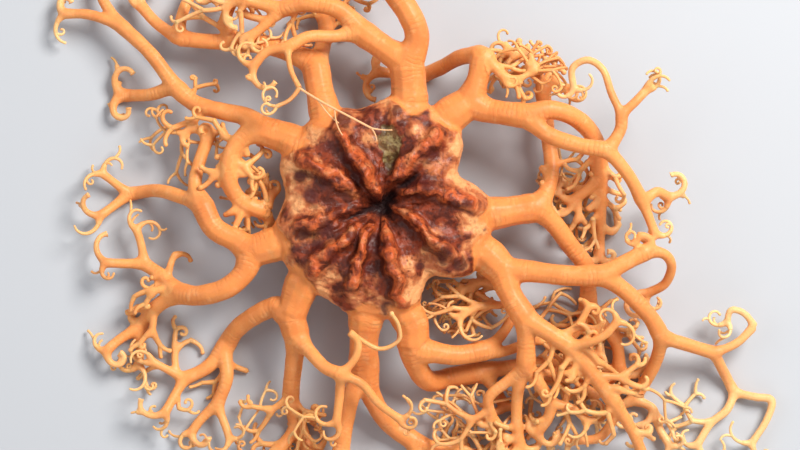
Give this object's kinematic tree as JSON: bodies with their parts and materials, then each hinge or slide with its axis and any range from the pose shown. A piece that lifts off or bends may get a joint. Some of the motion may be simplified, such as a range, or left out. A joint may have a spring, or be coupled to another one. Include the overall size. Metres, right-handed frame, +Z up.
{
  "type": "basket star",
  "caption": "Life-size basket star: a ribbed, mottled disc with a star-shaped mouth below and five arms that fork again and again into curled orange twigs.",
  "frame": {"origin": "on the floor that the arms rest on, under the middle of the whole outline seen from above", "axes": "+Z up, out of the animal's back, and +Y towards the top of the view from above, so that the mouth faces -Z"},
  "size_m": [0.219, 0.2046, 0.0352],
  "materials": {
    "disc_skin": "wet, grained, red-brown mottled with cream",
    "arm_skin": "wet, smooth, orange"
  },
  "bodies": {
    "root": {"disc": "disc_skin", "arm1_a": "arm_skin", "arm1_a_left": "arm_skin", "arm1_a_left_outer": "arm_skin", "arm1_a_right": "arm_skin", "arm1_a_right_outer": "arm_skin", "arm1_b": "arm_skin", "arm1_b_up": "arm_skin", "arm1_b_up_back": "arm_skin", "arm1_b_right": "arm_skin", "arm1_b_right_over": "arm_skin", "arm1_b_right_hanging": "arm_skin", "arm1_b_right_under": "arm_skin", "arm1_b_right_rising": "arm_skin", "arm1_b_right_falling": "arm_skin", "arm5_a": "arm_skin", "arm5_a_up": "arm_skin", "arm5_a_left": "arm_skin", "arm5_a_left_outer": "arm_skin", "arm5_b": "arm_skin", "arm5_b_curl": "arm_skin", "arm5_b_left": "arm_skin", "arm5_b_left_outer": "arm_skin", "arm5_b_left_low": "arm_skin", "arm4_a": "arm_skin", "arm4_a_up": "arm_skin", "arm4_a_up_left": "arm_skin", "arm4_a_down": "arm_skin", "arm4_a_down_outer": "arm_skin", "arm4_b": "arm_skin", "arm4_b_left": "arm_skin", "arm4_b_down_left": "arm_skin", "arm4_b_down_right": "arm_skin", "arm3_a": "arm_skin", "arm3_a_left": "arm_skin", "arm3_a_right": "arm_skin", "arm3_a_right_outer": "arm_skin", "arm3_b": "arm_skin", "arm3_b_right": "arm_skin", "arm3_b_right_up": "arm_skin", "arm3_b_down": "arm_skin", "arm3_b_down_outer": "arm_skin", "arm2_a": "arm_skin", "arm2_a_right": "arm_skin", "arm2_a_right_up": "arm_skin", "arm2_a_right_down": "arm_skin", "arm2_a_right_outer": "arm_skin", "arm2_a_right_end": "arm_skin", "arm2_a_right_low": "arm_skin", "arm2_a_down": "arm_skin", "arm2_a_down_right": "arm_skin", "arm2_a_down_outer": "arm_skin", "arm2_a_down_left": "arm_skin", "arm2_a_down_fork": "arm_skin", "arm2_b": "arm_skin", "arm2_b_up": "arm_skin", "arm2_b_down": "arm_skin", "arm2_b_down_outer": "arm_skin"}
  },
  "joints": []
}
